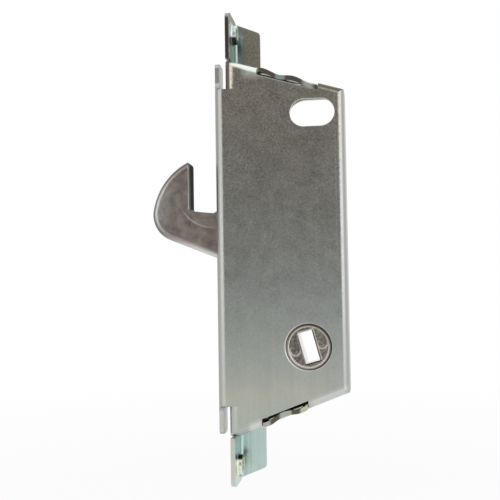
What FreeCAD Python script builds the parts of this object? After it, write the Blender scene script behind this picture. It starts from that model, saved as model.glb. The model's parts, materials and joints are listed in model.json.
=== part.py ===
"""Sliding patio door hook lock: a folded steel case with a swinging hook bolt.

Millimetres. X runs from the front edge (hook side, -X) to the back of the case,
Y runs from the side plate that carries the raised bend (-Y) to the cover (+Y), Z is up.
The origin is midway between the two ear screw holes, on the front face of the ears
and halfway through the thickness of the case.
"""
import FreeCAD, Part
import math
import os

Vec = FreeCAD.Vector

# Case, overall
case_thickness = 12.7
sheet = 1.4
front_stand = 3.9
shoulder_stand = 0.4
back_depth = 36.8
front_half_height = 49.5
shoulder_half_height = 58.7
top_slope = 16.7
bottom_slope = 21.5
top_slope_start = 1.0
bottom_slope_start = 2.7
front_bend = 3.0
back_bend = 2.0
edge_bend = 2.0

# Tongues above and below the front wall
tongue_width = 7.0
tongue_gap = 0.2
tongue_corner_share = 0.17
notch_share = 0.31

# Ears and their screw holes
ear_hole_spacing = 136.525
ear_tip_half_height = 74.3
ear_gap = 0.5
ear_bend = 2.4
ear_corner = 2.2
flange_depth = 9.6
flange_drop = 0.9
flange_slope = 19.5
flange_corner = 1.2
collar_outer = 6.2
collar_height = 1.5
collar_bore = 3.5
collar_root = 0.4

# Clinched tabs that lock the two halves
top_tab_start = 9.8
top_tab_length = 19.2
bottom_tab_start = 9.9
bottom_tab_length = 14.3
tab_gap = 0.25
tab_end_stand = 0.3
window_inset = 2.4
crimp_depth = 3.6
crimp_height = 0.7
top_crimp_lead = 3.2
top_crimp_pitch = 8.4
bottom_crimp_lead = 4.0
bottom_crimp_pitch = 7.0

# Handle screw slot
screw_slot_x = 26.95
screw_slot_below_top = 17.75
screw_slot_length = 13.9
screw_slot_height = 8.7
screw_slot_far_margin = 2.1

# Hub
hub_x = 24.6
hub_above_bottom = 27.35
journal_radius = 6.85
journal_clearance = 0.06
journal_recess = 0.1
hub_end_play = 0.15
near_shoulder_radius = 7.65
cam_radius = 8.8
cam_flat = 7.5
cam_near = -1.4
arm_thickness = 1.8
key_length = 9.6
key_width = 4.5
key_tilt = 15.0
key_bevel = 0.35
face_ring = 0.5
face_recess = 0.35
face_slope = 0.35
mark_radius = 1.35
mark_rim = 0.4
mark_offset = 4.3
mark_depth = 0.4
hole_coin = 0.35

# Hook
hook_thickness = 6.35
pivot_x = 9.0
pivot_z = -2.0
pivot_radius = 3.0
pivot_clearance = 0.05
swing = 60.0
hook_tip_x = -13.3
hook_tip_z = 27.35
hook_back_x = -12.45
hook_reach_x = -24.95
hook_reach_z = 11.1
hook_upper_x = -21.6
hook_upper_z = 20.35
hook_blank_x = -7.0
hook_tip_start_x = -15.4
hook_tip_end_z = 26.2
hook_tip_drop = 0.95
hook_lower_x = -23.65
hook_lower_z = 6.25
hook_heelcurve_x = -19.6
hook_heelcurve_z = 2.75
throat_floor_z = 11.5
throat_floor_drop = 0.7
throat_end_x = -5.2
throat_corner = 1.3
throat_rise_x = -3.7
throat_rise_z = 13.2
hook_boss_radius = 6.3
hook_lug_radius = 3.6
hook_round = 1.9
throat_bevel = 0.5
slot_width = 7.0
slot_low_z = -5.0
slot_high_z = 35.0
heel_radius = 2.4

# Link, its pins and washers
crank_radius = 10.3
crank_angle = 98.9
link_thickness = 1.1
link_near_gap = 0.35
link_width = 4.0
link_washer_gap = 0.55
link_eye_radius = 2.3
pin_radius = 1.4
pin_clearance = 0.05
open_pivot_clearance = 0.15
pin_depth = 1.7
washer_radius = 4.6
washer_bore_clearance = 0.1
washer_play = 0.1

# Posts riveted to the cover, and the detent leaf spring
stop_radius = 2.2
stop_gap = 0.1
stop_arm_x = 3.0
post_tail_radius = 1.6
leaf_thickness = 0.5
leaf_near = -1.1
leaf_width = 3.8
leaf_gap = 0.05
leaf_before_hub = 11.1
leaf_past_hub = 9.6
leaf_post_radius = 1.75
support_post_radius = 1.8
support_past_hub = 8.4

# Worked out from the sizes above
near_face = -case_thickness / 2
near_inner = near_face + sheet
far_inner = case_thickness / 2 - sheet
far_face = case_thickness / 2
front_x = -front_stand
front_inner = front_x + sheet
shoulder_x = -shoulder_stand
tongue_reach = shoulder_half_height - front_half_height - tongue_gap
tongue_corner = tongue_corner_share * tongue_reach
notch_radius = notch_share * tongue_reach
screw_slot_z = shoulder_half_height - screw_slot_below_top
hub_z = hub_above_bottom - shoulder_half_height
leaf_start_x = hub_x - leaf_before_hub
leaf_end_x = hub_x + leaf_past_hub
support_x = hub_x + support_past_hub
ear_hole_z = ear_hole_spacing / 2
hook_near = -hook_thickness / 2
hook_far = hook_thickness / 2
link_near = near_inner + link_near_gap
link_far = link_near + link_thickness

# Longer than anything in the part, for cutting bars
REACH = 120.0


def point(x, z, y=0.0):
    """A point given by its place in the side view and its depth."""
    return Vec(x, y, z)


def polar(x, z, radius, angle):
    """A point in the side view at a radius and an angle from a centre."""
    turn = math.radians(angle)
    return (x + radius * math.cos(turn), z + radius * math.sin(turn))


def box(x0, x1, y0, y1, z0, z1):
    """A block between three pairs of planes."""
    return Part.makeBox(x1 - x0, y1 - y0, z1 - z0, Vec(x0, y0, z0))


def disc(x, z, radius, y0, y1):
    """A round bar along Y."""
    return Part.makeCylinder(radius, y1 - y0, Vec(x, y0, z), Vec(0, 1, 0))


def side_prism(points, y0, y1):
    """A straight-sided outline in the side view, carried along Y."""
    corners = [point(x, z, y0) for x, z in points]
    wire = Part.makePolygon(corners + [corners[0]])
    return Part.Face(wire).extrude(Vec(0, y1 - y0, 0))


def edge_prism(edges, y0, y1):
    """An outline of lines and arcs drawn at depth zero, carried along Y."""
    wire = Part.Wire(Part.__sortEdges__(edges))
    face = Part.Face(wire)
    face.translate(Vec(0, y0, 0))
    return face.extrude(Vec(0, y1 - y0, 0))


def line(start, end):
    """A straight edge in the side view."""
    return Part.LineSegment(point(*start), point(*end)).toShape()


def arc(start, middle, end):
    """A round edge in the side view through three points."""
    return Part.Arc(point(*start), point(*middle), point(*end)).toShape()


def edges_where(shape, test):
    """The straight and round edges whose middle passes a test."""
    return [edge for edge in shape.Edges if test(edge.CenterOfMass)]


def slot_prism(x, z, length, height, y0, y1):
    """A round-ended slot that lies along X, carried along Y."""
    reach = (length - height) / 2
    radius = height / 2
    top_left = (x - reach, z + radius)
    top_right = (x + reach, z + radius)
    low_left = (x - reach, z - radius)
    low_right = (x + reach, z - radius)
    edges = [
        line(top_left, top_right),
        arc(top_right, (x + reach + radius, z), low_right),
        line(low_right, low_left),
        arc(low_left, (x - reach - radius, z), top_left),
    ]
    return edge_prism(edges, y0, y1)


def top_line(x):
    """Height of the sloping top edge of the case."""
    return shoulder_half_height - (x - top_slope_start) * math.tan(math.radians(top_slope))


def bottom_line(x):
    """Height of the sloping bottom edge of the case."""
    return -shoulder_half_height + (x - bottom_slope_start) * math.tan(math.radians(bottom_slope))


def wall_bar(front, back, front_radius, back_radius, y0, y1):
    """The case seen from above, with its two upright folds rounded, carried along Z."""
    turn = math.sqrt(0.5)
    front_middle = Vec(front + front_radius * (1 - turn), y0 + front_radius * (1 - turn), -REACH)
    back_middle = Vec(back - back_radius * (1 - turn), y0 + back_radius * (1 - turn), -REACH)
    front_top = Vec(front, y1, -REACH)
    front_low = Vec(front, y0 + front_radius, -REACH)
    plate_front = Vec(front + front_radius, y0, -REACH)
    plate_back = Vec(back - back_radius, y0, -REACH)
    back_low = Vec(back, y0 + back_radius, -REACH)
    back_top = Vec(back, y1, -REACH)
    edges = [
        Part.LineSegment(front_top, front_low).toShape(),
        Part.Arc(front_low, front_middle, plate_front).toShape(),
        Part.LineSegment(plate_front, plate_back).toShape(),
        Part.Arc(plate_back, back_middle, back_low).toShape(),
        Part.LineSegment(back_low, back_top).toShape(),
        Part.LineSegment(back_top, front_top).toShape(),
    ]
    return Part.Face(Part.Wire(edges)).extrude(Vec(0, 0, 2 * REACH))


def edge_bar(x, z, slope, side, radius, y0, y1, inset):
    """Everything on the inner side of a sloping case edge, with its fold rounded.

    The edge passes through x, z at the slope in degrees; side is 1 for the top
    edge and -1 for the bottom one.
    """
    angle = math.radians(slope)
    along = Vec(math.cos(angle), 0, math.sin(angle))
    out = Vec(-math.sin(angle), 0, math.cos(angle)) * side
    base = Vec(x, 0, z) - out * inset - along * REACH
    turn = math.sqrt(0.5)
    deep = 1 if y1 > y0 else -1

    def place(outward, depth):
        return base + out * outward + Vec(0, depth, 0)

    inner_near = place(-2 * REACH, y0)
    plate_end = place(-radius, y0)
    fold_middle = place(-radius * (1 - turn), y0 + deep * radius * (1 - turn))
    wall_start = place(0, y0 + deep * radius)
    wall_end = place(0, y1)
    inner_far = place(-2 * REACH, y1)
    edges = [
        Part.LineSegment(inner_near, plate_end).toShape(),
        Part.Arc(plate_end, fold_middle, wall_start).toShape(),
        Part.LineSegment(wall_start, wall_end).toShape(),
        Part.LineSegment(wall_end, inner_far).toShape(),
        Part.LineSegment(inner_far, inner_near).toShape(),
    ]
    return Part.Face(Part.Wire(edges)).extrude(along * 2 * REACH)


def case_block(front, inset, front_radius, y0, y1):
    """The folded outside of the case, or its inside when drawn in by an inset."""
    block = wall_bar(front + inset, back_depth - inset, front_radius, back_bend - inset, y0, y1)
    fold = edge_bend - inset
    block = block.common(
        edge_bar(top_slope_start, shoulder_half_height, -top_slope, 1, fold, y0, y1, inset)
    )
    block = block.common(edge_bar(0, shoulder_half_height, 0, 1, fold, y0, y1, inset))
    block = block.common(
        edge_bar(bottom_slope_start, -shoulder_half_height, bottom_slope, -1, fold, y0, y1, inset)
    )
    return block.common(edge_bar(0, -shoulder_half_height, 0, -1, fold, y0, y1, inset))


def edge_band(line_height, slope, side, start, length, depth, y0, y1):
    """A strip along a sloping case edge, from outside it to a depth inside it."""
    drop = depth / math.cos(math.radians(slope))
    end = start + length
    points = [
        (start, line_height(start) - side * drop),
        (end, line_height(end) - side * drop),
        (end, line_height(end) + side * sheet),
        (start, line_height(start) + side * sheet),
    ]
    return side_prism(points, y0, y1)


def front_strip(inset, y1):
    """The raised front of the case, or its inside when drawn in by an inset."""
    bar = wall_bar(
        front_x + inset, back_depth - inset, front_bend - inset, back_bend - inset, near_face + inset, y1
    )
    keep = box(front_x, 3 * front_bend, near_face, y1, -front_half_height, front_half_height)
    return bar.common(keep)


def tongue(side):
    """The front wall carried on as a narrow tongue, with round notches at its root."""
    half = tongue_width / 2
    root = front_half_height
    bar = wall_bar(front_x, back_depth, front_bend, back_bend, near_face, far_inner)
    inside = wall_bar(
        front_inner, back_depth - sheet, front_bend - sheet, back_bend - sheet, near_inner, far_inner + 1
    )
    reach = half + notch_radius
    solid = bar.cut(inside).common(box(front_x, shoulder_x - 0.1, -reach, reach, root, root + tongue_reach))
    for hand in (-1, 1):
        outer_y = hand * (reach + 1)
        side_y = hand * half
        low_y, high_y = sorted((outer_y, side_y))
        above = box(front_x - 1, 1, low_y, high_y, root + notch_radius, root + tongue_reach + 1)
        solid = solid.cut(above)
        centre = Vec(front_x - 1, hand * reach, root + notch_radius)
        solid = solid.cut(Part.makeCylinder(notch_radius, front_stand + 1, centre, Vec(1, 0, 0)))
    tip_edges = edges_where(solid, lambda m: m.z > root + tongue_reach - 0.01 and abs(m.y) > half - 0.01)
    solid = solid.makeFillet(tongue_corner, tip_edges)
    if side < 0:
        solid = solid.mirror(Vec(0, 0, 0), Vec(0, 0, 1))
    return solid


def coined_hole(x, z, radius, face, into):
    """A round hole through a side plate with a small bevel on its outer face."""
    hole = disc(x, z, radius, min(face, face + into) - 0.1, max(face, face + into) + 0.1)
    way = 1 if into > 0 else -1
    bevel = Part.makeCone(
        radius + hole_coin, radius, hole_coin, Vec(x, face, z), Vec(0, way, 0)
    )
    return hole.fuse(bevel)


def case_body():
    """The half of the case with the side plate, front, back, top and bottom walls."""
    outer = case_block(shoulder_x, 0, front_bend, near_face, far_inner)
    inner = case_block(shoulder_x, sheet, front_bend - sheet, near_inner, far_inner + 1)
    solid = outer.fuse(front_strip(0, far_inner))
    solid = solid.cut(inner.fuse(front_strip(sheet, far_inner + 1)))
    solid = solid.fuse([tongue(1), tongue(-1)])
    half_slot = slot_width / 2
    solid = solid.cut(box(front_x - 1, front_inner + 1, -half_slot, half_slot, slot_low_z, slot_high_z))
    for line_height, slope, side, start, length, _, _ in TABS:
        window = edge_band(line_height, slope, side, start, length, window_inset, near_face - 1, far_face)
        solid = solid.cut(window)
    solid = solid.cut(
        slot_prism(
            screw_slot_x, screw_slot_z, screw_slot_length, screw_slot_height, near_face - 1, near_inner + 1
        )
    )
    hole_radius = journal_radius + journal_clearance
    solid = solid.cut(coined_hole(hub_x, hub_z, hole_radius, near_face, sheet))
    return solid.removeSplitter()


def crimped_tab(line_height, slope, side, start, length, lead, pitch):
    """A tab of the cover, folded over the case edge and crimped wavy at its end."""
    x0 = start + tab_gap
    x1 = start + length - tab_gap
    signed = -slope if side > 0 else slope
    tab_end = near_face + tab_end_stand
    crimp_start = tab_end + crimp_depth
    z0 = line_height(0)
    outer = edge_bar(0, z0, signed, side, edge_bend, far_face, crimp_start, 0)
    inner = edge_bar(0, z0, signed, side, edge_bend - sheet, far_inner, crimp_start - 1, sheet)
    depth = 2 * edge_bend
    band = edge_band(line_height, slope, side, x0, x1 - x0, depth, near_face, far_face)
    folded = outer.cut(inner).common(band)
    angle = math.radians(signed)
    along = Vec(math.cos(angle), 0, math.sin(angle))
    out = Vec(-math.sin(angle), 0, math.cos(angle)) * side
    origin = Vec(x0 - sheet, 0, line_height(x0 - sheet))
    run = (x1 - x0 + 2 * sheet) / math.cos(angle)

    def section(depth_y, height):
        stops = [0.0]
        lifts = [-height]
        centre = lead + sheet
        up = True
        while centre < run - lead / 2:
            stops.append(centre)
            lifts.append(0.0 if up else -height)
            up = not up
            centre += pitch / 2
        stops.append(run)
        lifts.append(-height)
        outside = [origin + along * u + out * v + Vec(0, depth_y, 0) for u, v in zip(stops, lifts)]
        inside = [corner - out * sheet for corner in outside]
        top = Part.BSplineCurve()
        top.interpolate(outside)
        low = Part.BSplineCurve()
        low.interpolate(inside)
        return Part.Wire([
            top.toShape(),
            Part.LineSegment(outside[-1], inside[-1]).toShape(),
            low.toShape(),
            Part.LineSegment(inside[0], outside[0]).toShape(),
        ])

    middle = (tab_end + crimp_start) / 2
    blend = Part.makeLoft([section(crimp_start, 0.001), section(middle, crimp_height)], True, True)
    end_face = Part.Face(section(middle, crimp_height))
    wavy = end_face.extrude(Vec(0, tab_end - middle, 0))
    return folded.fuse([blend.common(band), wavy.common(band)])


def ear(side):
    """An ear bent from the cover, with its flange and its drawn, threaded collar."""
    turn = math.sqrt(0.5)
    low = shoulder_half_height - 1
    high = ear_tip_half_height
    inner_bend = ear_bend - sheet
    outer_middle = Vec(ear_bend * (1 - turn), far_face - ear_bend * (1 - turn), low)
    inner_middle = Vec(sheet + inner_bend * (1 - turn), far_inner - inner_bend * (1 - turn), low)
    edges = [
        Part.LineSegment(Vec(0, near_face, low), Vec(0, far_face - ear_bend, low)).toShape(),
        Part.Arc(Vec(0, far_face - ear_bend, low), outer_middle, Vec(ear_bend, far_face, low)).toShape(),
        Part.LineSegment(Vec(ear_bend, far_face, low), Vec(flange_depth, far_face, low)).toShape(),
        Part.LineSegment(Vec(flange_depth, far_face, low), Vec(flange_depth, far_inner, low)).toShape(),
        Part.LineSegment(
            Vec(flange_depth, far_inner, low), Vec(sheet + inner_bend, far_inner, low)
        ).toShape(),
        Part.Arc(
            Vec(sheet + inner_bend, far_inner, low), inner_middle, Vec(sheet, far_inner - inner_bend, low)
        ).toShape(),
        Part.LineSegment(
            Vec(sheet, far_inner - inner_bend, low), Vec(sheet, near_face, low)
        ).toShape(),
        Part.LineSegment(Vec(sheet, near_face, low), Vec(0, near_face, low)).toShape(),
    ]
    solid = Part.Face(Part.Wire(edges)).extrude(Vec(0, 0, high - low))
    flange_high = high - flange_drop
    flange_low = flange_high - flange_depth * math.tan(math.radians(flange_slope))
    outline = [
        (-1, low),
        (-1, high),
        (sheet, high),
        (sheet, flange_high),
        (flange_depth, flange_low),
        (flange_depth, low),
    ]
    shape = side_prism(outline, near_face, far_face)
    corner = edges_where(
        shape, lambda m: m.x > flange_depth - 0.01 and m.z > flange_low - 0.01 and abs(m.y) < 0.01
    )
    shape = shape.makeFillet(flange_corner, corner)
    solid = solid.common(shape)
    free_end = shoulder_half_height + ear_gap
    solid = solid.cut(box(-1, ear_bend, near_face - 1, far_face + 1, low - 1, free_end))
    near_corner = edges_where(
        solid, lambda m: m.z > high - 0.01 and m.y < near_face + 0.01 and 0.1 < m.x < sheet - 0.1
    )
    solid = solid.makeFillet(ear_corner, near_corner)
    back = Vec(1, 0, 0)
    foot = Vec(sheet, 0, ear_hole_z)
    radius = collar_outer / 2
    collar = Part.makeCylinder(radius, collar_height, foot, back)
    root = Part.makeCone(radius + collar_root, radius, collar_root, foot, back)
    bore = Part.makeCylinder(collar_bore / 2, REACH, Vec(-1, 0, ear_hole_z), back)
    solid = solid.fuse([collar, root]).cut(bore)
    if side < 0:
        solid = solid.mirror(Vec(0, 0, 0), Vec(0, 0, 1))
    return solid


def rivet_tail(x, z):
    """The flush tail with which a post is riveted in the cover."""
    return disc(x, z, post_tail_radius, far_inner, far_face)


def post(x, z, radius):
    """A post between the side plates, riveted flush in the cover."""
    return disc(x, z, radius, near_inner, far_inner).fuse(rivet_tail(x, z)).removeSplitter()


def cover_plate():
    """The far half of the case: a flat cover with ears and two clinched tabs."""
    outline = [
        (front_x, -front_half_height),
        (front_x, front_half_height),
        (0, front_half_height),
        (0, shoulder_half_height),
        (top_slope_start, shoulder_half_height),
        (back_depth, top_line(back_depth)),
        (back_depth, bottom_line(back_depth)),
        (bottom_slope_start, -shoulder_half_height),
        (0, -shoulder_half_height),
        (0, -front_half_height),
    ]
    solid = side_prism(outline, far_inner, far_face)
    for line_height, slope, side, start, length, lead, pitch in TABS:
        room = edge_band(line_height, slope, side, start, length, edge_bend, far_inner - 1, far_face + 1)
        tab = crimped_tab(line_height, slope, side, start, length, lead, pitch)
        solid = solid.cut(room).fuse(tab)
    solid = solid.fuse([ear(1), ear(-1)])
    solid = solid.cut(
        slot_prism(
            screw_slot_x,
            screw_slot_z,
            screw_slot_length + 2 * screw_slot_far_margin,
            screw_slot_height + 2 * screw_slot_far_margin,
            far_inner - 1,
            far_face + 1,
        )
    )
    hole_radius = journal_radius + journal_clearance
    solid = solid.cut(coined_hole(hub_x, hub_z, hole_radius, far_face, -sheet))
    for x, z in POSTS:
        solid = solid.cut(rivet_tail(x, z))
    return solid.removeSplitter()


def bar_between(first, first_radius, second, second_radius, y0, y1):
    """Two round ends joined by a straight-sided bar that touches both."""
    dx = second[0] - first[0]
    dz = second[1] - first[1]
    reach = math.hypot(dx, dz)
    heading = math.degrees(math.atan2(dz, dx))
    spread = math.degrees(math.acos((first_radius - second_radius) / reach))
    corners = [
        polar(first[0], first[1], first_radius, heading + spread),
        polar(second[0], second[1], second_radius, heading + spread),
        polar(second[0], second[1], second_radius, heading - spread),
        polar(first[0], first[1], first_radius, heading - spread),
    ]
    bar = side_prism(corners, y0, y1)
    first_end = disc(first[0], first[1], first_radius, y0, y1)
    second_end = disc(second[0], second[1], second_radius, y0, y1)
    return bar.fuse([first_end, second_end])


def circle_through(first, second, third):
    """Centre and radius of the circle through three points of the side view."""
    curve = arc(first, second, third).Curve
    return (curve.Center.x, curve.Center.z), curve.Radius


def hook_blade():
    """The part of the hook outside the case: a round-edged blank with its throat cut out."""
    reach = (hook_reach_x, hook_reach_z)
    upper = (hook_upper_x, hook_upper_z)
    centre, radius = circle_through(reach, upper, (hook_tip_start_x, hook_outer_height()))

    def outer(x):
        return (x, centre[1] + math.sqrt(radius**2 - (x - centre[0]) ** 2))

    cut_x = front_inner + 0.5
    blank_end = outer(hook_blank_x)
    curve_end = (hook_heelcurve_x, hook_heelcurve_z)
    edges = [
        arc(reach, upper, blank_end),
        line(blank_end, (hook_blank_x, throat_floor_z)),
        line((hook_blank_x, throat_floor_z), (cut_x, throat_rise_z)),
        line((cut_x, throat_rise_z), (cut_x, lower_edge(cut_x))),
        line((cut_x, lower_edge(cut_x)), curve_end),
        arc(curve_end, (hook_lower_x, hook_lower_z), reach),
    ]
    blank = edge_prism(edges, hook_near, hook_far)

    def rim(m):
        on_face = abs(abs(m.y) - hook_thickness / 2) < 0.01
        middle_x = (cut_x + hook_blank_x) / 2
        return on_face and (m.x < hook_blank_x - 0.5 or m.z < lower_edge(middle_x) + 1)

    blank = blank.makeFillet(hook_round, edges_where(blank, rim))
    tip_start = outer(hook_tip_start_x)
    tip_end = (hook_back_x, hook_tip_end_z)
    throat_top = (hook_back_x, throat_floor_z + throat_corner)
    throat_low = (hook_back_x + throat_corner, throat_floor_z)
    turn = throat_corner * (1 - math.sqrt(0.5))
    throat_middle = (hook_back_x + turn, throat_floor_z + turn)
    floor_end = (throat_end_x, throat_floor_z - throat_floor_drop)
    rise_middle = (throat_rise_x - 0.6, throat_floor_z - throat_floor_drop / 2)
    rise_end = (throat_rise_x, throat_rise_z)
    clear_x = cut_x + 1
    clear_z = hook_tip_z + 10
    throat = [
        arc(tip_start, (hook_tip_x, hook_tip_z), tip_end),
        line(tip_end, throat_top),
        arc(throat_top, throat_middle, throat_low),
        line(throat_low, floor_end),
        arc(floor_end, rise_middle, rise_end),
        line(rise_end, (clear_x, throat_rise_z)),
        line((clear_x, throat_rise_z), (clear_x, clear_z)),
        line((clear_x, clear_z), (hook_tip_start_x, clear_z)),
        line((hook_tip_start_x, clear_z), tip_start),
    ]
    blade = blank.cut(edge_prism(throat, hook_near - 1, hook_far + 1))

    def back_edge(m):
        on_face = abs(abs(m.y) - hook_thickness / 2) < 0.01
        return on_face and abs(m.x - hook_back_x) < 0.01

    return blade.makeChamfer(throat_bevel, edges_where(blade, back_edge))


def hook_outer_height():
    """Height of the hook's outer curve where its tip starts to turn."""
    return hook_tip_z - hook_tip_drop


def lower_edge(x):
    """Height of the hook's straight lower edge, which runs into the pivot boss."""
    angle = hook_lower_angle()
    foot = polar(pivot_x, pivot_z, hook_boss_radius, angle)
    slope = (foot[1] - hook_heelcurve_z) / (foot[0] - hook_heelcurve_x)
    return hook_heelcurve_z + (x - hook_heelcurve_x) * slope


def hook_lower_angle():
    """Angle at which the lower edge meets the pivot boss, touching it."""
    dx = hook_heelcurve_x - pivot_x
    dz = hook_heelcurve_z - pivot_z
    heading = math.degrees(math.atan2(dz, dx))
    spread = math.degrees(math.acos(hook_boss_radius / math.hypot(dx, dz)))
    return heading + spread


def hook_bolt():
    """The hook with its pivot boss, link lug and stop heel, as one thick piece."""
    cut_x = front_inner + 0.5
    foot = polar(pivot_x, pivot_z, hook_boss_radius, hook_lower_angle())
    lug_top = polar(HOOK_PIN[0], HOOK_PIN[1], hook_lug_radius, 95)
    root = side_prism(
        [
            (cut_x, lower_edge(cut_x)),
            (cut_x, throat_rise_z),
            lug_top,
            (pivot_x, pivot_z),
            foot,
        ],
        hook_near,
        hook_far,
    )
    pivot = (pivot_x, pivot_z)
    lug = bar_between(pivot, hook_boss_radius, HOOK_PIN, hook_lug_radius, hook_near, hook_far)
    heel = bar_between(pivot, heel_radius, HEEL, heel_radius, hook_near, hook_far)
    solid = hook_blade().fuse([root, lug, heel])
    bore = pivot_radius + pivot_clearance
    solid = solid.cut(disc(pivot_x, pivot_z, bore, hook_near - 1, hook_far + 1))
    solid = solid.cut(disc(HOOK_PIN[0], HOOK_PIN[1], pin_radius, hook_near - 1, hook_near + pin_depth))
    return solid.removeSplitter()


def hook_link_pin():
    """The pin pressed in the hook's lug, on which the link turns."""
    return disc(HOOK_PIN[0], HOOK_PIN[1], pin_radius, link_near - washer_play, hook_near + pin_depth)


def hub_link_pin():
    """The pin riveted in the hub's arm, on which the link turns."""
    return disc(HUB_PIN[0], HUB_PIN[1], pin_radius, link_near - washer_play, cam_near)


def washer(y0, y1):
    """A plain washer on the hook's pivot post."""
    ring = disc(pivot_x, pivot_z, washer_radius, y0, y1)
    return ring.cut(disc(pivot_x, pivot_z, pivot_radius + washer_bore_clearance, y0 - 1, y1 + 1))


def keyway_hub():
    """The cast hub that the key or thumb piece turns, with its arm and detent cam."""
    arm_near = cam_near - arm_thickness
    near_end = near_face + journal_recess
    far_end = far_face - journal_recess
    cam_far = -arm_near
    cam = disc(hub_x, hub_z, cam_radius, cam_near, cam_far)
    for angle in (270, 270 + swing):
        flat = box(cam_flat, 2 * cam_radius, cam_near - 1, cam_far + 1, -cam_radius, cam_radius)
        flat.rotate(Vec(0, 0, 0), Vec(0, 1, 0), -angle)
        flat.translate(Vec(hub_x, 0, hub_z))
        cam = cam.cut(flat)
    pieces = [
        disc(hub_x, hub_z, near_shoulder_radius, near_inner + hub_end_play, arm_near),
        bar_between((hub_x, hub_z), near_shoulder_radius, HUB_PIN, link_eye_radius, arm_near, cam_near),
        cam,
        disc(hub_x, hub_z, near_shoulder_radius, cam_far, far_inner - hub_end_play),
    ]
    solid = disc(hub_x, hub_z, journal_radius, near_end, far_end).fuse(pieces)
    solid = solid.cut(disc(HUB_PIN[0], HUB_PIN[1], pin_radius, arm_near - 1, cam_near))
    solid = solid.cut(key_slot(key_length, key_width, near_face - 1, far_face + 1))
    for face, way in ((near_end, 1), (far_end, -1)):
        floor_radius = journal_radius - face_ring - face_slope
        solid = solid.cut(dish(hub_x, hub_z, floor_radius, face_slope, face, way * face_recess))
        y0, y1 = sorted((face, face + way * (face_recess + key_bevel)))
        solid = solid.cut(key_slot(key_length + 2 * key_bevel, key_width + 2 * key_bevel, y0, y1))
    for hand in (-1, 1):
        mark_x, mark_z = polar(hub_x, hub_z, hand * mark_offset, key_tilt)
        solid = solid.cut(dish(mark_x, mark_z, mark_radius, mark_rim, near_end + face_recess, mark_depth))
    return solid.removeSplitter()


def dish(x, z, radius, slope_width, face, depth):
    """A round hollow with a sloping wall, cut into a face; a negative depth cuts towards -Y."""
    way = 1 if depth > 0 else -1
    return Part.makeCone(radius + slope_width, radius, abs(depth), Vec(x, face, z), Vec(0, way, 0))


def key_slot(length, width, y0, y1):
    """A rectangular slot through the hub, leaning towards the front at its top."""
    tilt = math.radians(key_tilt)
    up = (-math.sin(tilt) * length / 2, math.cos(tilt) * length / 2)
    across = (math.cos(tilt) * width / 2, math.sin(tilt) * width / 2)
    corners = []
    for along_hand, across_hand in ((-1, -1), (-1, 1), (1, 1), (1, -1)):
        corners.append((
            hub_x + along_hand * up[0] + across_hand * across[0],
            hub_z + along_hand * up[1] + across_hand * across[1],
        ))
    return side_prism(corners, y0, y1)


def drive_link():
    """The bowed link between the hub's arm and the hook."""
    dx = HUB_PIN[0] - HOOK_PIN[0]
    dz = HUB_PIN[1] - HOOK_PIN[1]
    chord = math.hypot(dx, dz)
    out = (-dz / chord, dx / chord)
    passing = washer_radius + link_washer_gap + link_width / 2
    beside_washer = (pivot_x + out[0] * passing, pivot_z + out[1] * passing)
    centre, radius = circle_through(HOOK_PIN, beside_washer, HUB_PIN)
    middle = ((HUB_PIN[0] + HOOK_PIN[0]) / 2, (HUB_PIN[1] + HOOK_PIN[1]) / 2)
    ring = disc(centre[0], centre[1], radius + link_width / 2, link_near, link_far)
    ring = ring.cut(disc(centre[0], centre[1], radius - link_width / 2, link_near - 1, link_far + 1))

    def beyond(pin, times):
        return (centre[0] + (pin[0] - centre[0]) * times, centre[1] + (pin[1] - centre[1]) * times)

    wedge = side_prism(
        [centre, beyond(HOOK_PIN, 1.5), beyond(middle, 2.0), beyond(HUB_PIN, 1.5)], link_near, link_far
    )
    eyes = [
        disc(HOOK_PIN[0], HOOK_PIN[1], link_eye_radius, link_near, link_far),
        disc(HUB_PIN[0], HUB_PIN[1], link_eye_radius, link_near, link_far),
    ]
    solid = ring.common(wedge).fuse(eyes)
    hub_hole = pin_radius + pin_clearance
    hook_hole = pin_radius + open_pivot_clearance
    solid = solid.cut(disc(HUB_PIN[0], HUB_PIN[1], hub_hole, link_near - 1, link_far + 1))
    solid = solid.cut(disc(HOOK_PIN[0], HOOK_PIN[1], hook_hole, link_near - 1, link_far + 1))
    return solid.removeSplitter()


def detent_spring():
    """The leaf spring that presses on the flats of the hub's cam."""
    leaf_far = leaf_near + leaf_width
    low = LEAF_TOP - leaf_thickness
    strip = box(leaf_start_x, leaf_end_x, leaf_near, leaf_far, low, LEAF_TOP)
    inner = leaf_post_radius + pin_clearance
    centre_z = LEAF_TOP - inner - leaf_thickness
    eye = disc(leaf_start_x, centre_z, inner + leaf_thickness, leaf_near, leaf_far)
    eye = eye.cut(box(leaf_start_x, leaf_end_x, leaf_near, leaf_far, centre_z, low))
    solid = strip.fuse(eye)
    return solid.cut(disc(leaf_start_x, centre_z, inner, leaf_near - 1, leaf_far + 1)).removeSplitter()


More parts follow.
